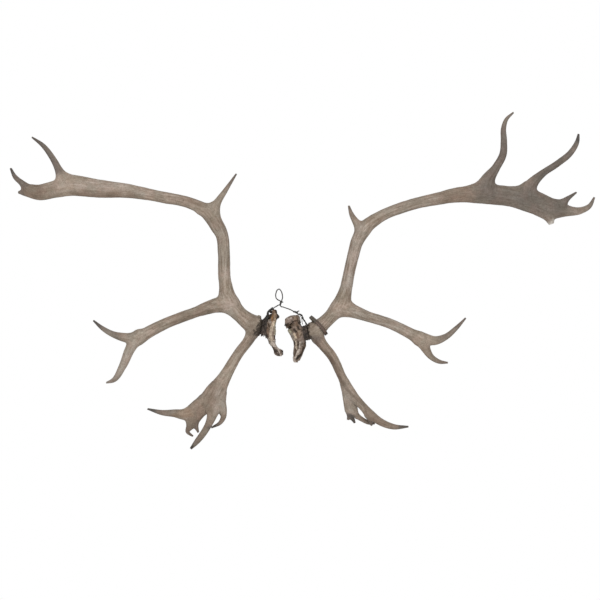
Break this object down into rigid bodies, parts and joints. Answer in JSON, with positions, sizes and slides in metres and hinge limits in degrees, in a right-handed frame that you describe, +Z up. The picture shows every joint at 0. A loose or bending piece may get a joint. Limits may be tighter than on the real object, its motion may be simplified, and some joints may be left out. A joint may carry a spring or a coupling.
{
  "type": "antler wall mount",
  "caption": "Pair of caribou antlers with branched brow and bez tines and spread crowns, on sawn skull pieces joined by wire and hung from a wire loop.",
  "frame": {"origin": "where the nail touches the inside of the wire loop, at the loop's top", "axes": "+X to the right as the pair is seen from the front, +Y into the wall, +Z up"},
  "size_m": [1.683, 0.1707, 0.9662],
  "materials": {
    "antler": null,
    "bone": null,
    "wire": "dark annealed iron wire, dull",
    "binding": "old dark brown wire wound tightly, dull and slightly rusty",
    "leather": "stiff old brown leather, dull"
  },
  "bodies": {
    "root": {"left_lower_beam": "antler", "left_middle_beam": "antler", "left_upper_beam": "antler", "left_crown_palm": "antler", "left_crown_tine": "antler", "left_back_tine": "antler", "left_bez_tine": "antler", "left_bez_upper_point": "antler", "left_bez_lower_point": "antler", "left_brow_tine": "antler", "left_brow_palm": "antler", "left_brow_front_point": "antler", "left_brow_long_point": "antler", "left_brow_hook_point": "antler", "right_lower_beam": "antler", "right_middle_beam": "antler", "right_upper_beam": "antler", "right_crown_palm": "antler", "right_end_tine": "antler", "right_crown_first_tine": "antler", "right_crown_second_tine": "antler", "right_back_tine": "antler", "right_bez_tine": "antler", "right_bez_upper_point": "antler", "right_bez_lower_point": "antler", "right_brow_tine": "antler", "right_brow_palm": "antler", "right_brow_long_tine": "antler", "right_brow_hook_point": "antler", "left_skull_piece": "bone", "right_skull_piece": "bone", "left_pedicle_wrap": "binding", "right_pedicle_wrap": "binding", "hanging_wire": "wire", "wire_tie": "wire", "left_wire_leg": "wire", "right_wire_leg_front": "wire", "right_wire_leg_back": "wire", "strap": "leather"}
  },
  "joints": []
}
